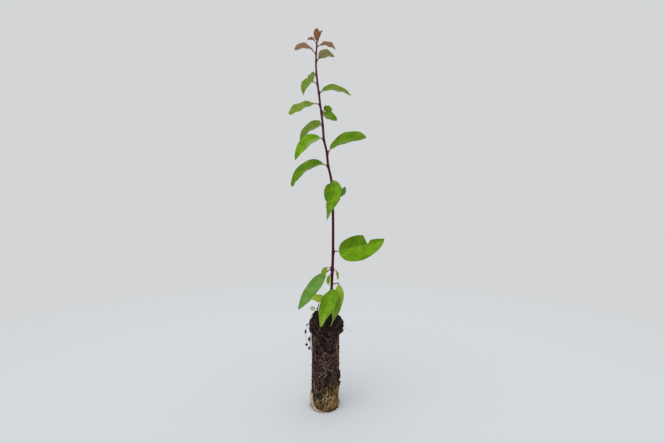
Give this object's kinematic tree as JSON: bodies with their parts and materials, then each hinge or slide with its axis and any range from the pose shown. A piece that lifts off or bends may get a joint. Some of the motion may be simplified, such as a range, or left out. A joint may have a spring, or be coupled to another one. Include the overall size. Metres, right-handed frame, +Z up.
{
  "type": "blackthorn plug plant",
  "caption": "Young hedging shrub with one slender stem and small toothed leaves, bronze at the tip, standing on its rooted cylindrical plug of compost.",
  "frame": {"origin": "centre of the root ball's flat underside", "axes": "+Z up along the plant, +X to its right, +Y to its back"},
  "size_m": [0.1099, 0.0657, 0.435],
  "materials": {
    "soil": "dark crumbly peat bound by fine pale roots, matt",
    "bark": "smooth young purple-red bark with pale pores, satin",
    "twig": "thin brown twig, matt",
    "leaf_bronze": "young bronze leaf, thin, soft sheen",
    "leaf_olive": "young olive leaf turning green, soft sheen",
    "leaf_fresh": "fresh light green leaf with a net of veins, matt above and paler below",
    "leaf_mature": "full green leaf with a net of veins, matt above and paler below",
    "leaf_dull": "bluish mid-green leaf, matt",
    "leaf_yellowed": "small yellow-green leaf, matt",
    "leaf_pale": "small faded cream leaf, matt"
  },
  "bodies": {
    "root": {"root_ball": "soil", "stem_lower": "bark", "stem_middle": "bark", "stem_upper": "bark", "low_twig": "twig", "basal_twig": "twig", "tip_leaf_tall": "leaf_bronze", "tip_leaf_slim": "leaf_bronze", "tip_leaf_side": "leaf_bronze", "leaf_01_right": "leaf_bronze", "leaf_02_left": "leaf_bronze", "leaf_03_right": "leaf_olive", "leaf_04_left": "leaf_fresh", "leaf_05_left": "leaf_fresh", "leaf_06_right": "leaf_fresh", "leaf_07_left": "leaf_fresh", "leaf_08_right": "leaf_mature", "leaf_09_right": "leaf_mature", "leaf_10_left": "leaf_fresh", "leaf_11_left": "leaf_mature", "leaf_12_right": "leaf_mature", "leaf_13_left": "leaf_mature", "leaf_14_front": "leaf_mature", "leaf_15_front": "leaf_mature", "leaf_16_right": "leaf_dull", "leaf_17_right": "leaf_mature", "leaf_18_left": "leaf_yellowed", "leaf_19_left": "leaf_yellowed", "leaf_20_left": "leaf_dull", "leaf_21_right": "leaf_yellowed", "leaf_22_front": "leaf_fresh", "leaf_23_front": "leaf_mature", "leaf_24_left": "leaf_yellowed", "leaf_25_basal": "leaf_pale"}
  },
  "joints": []
}
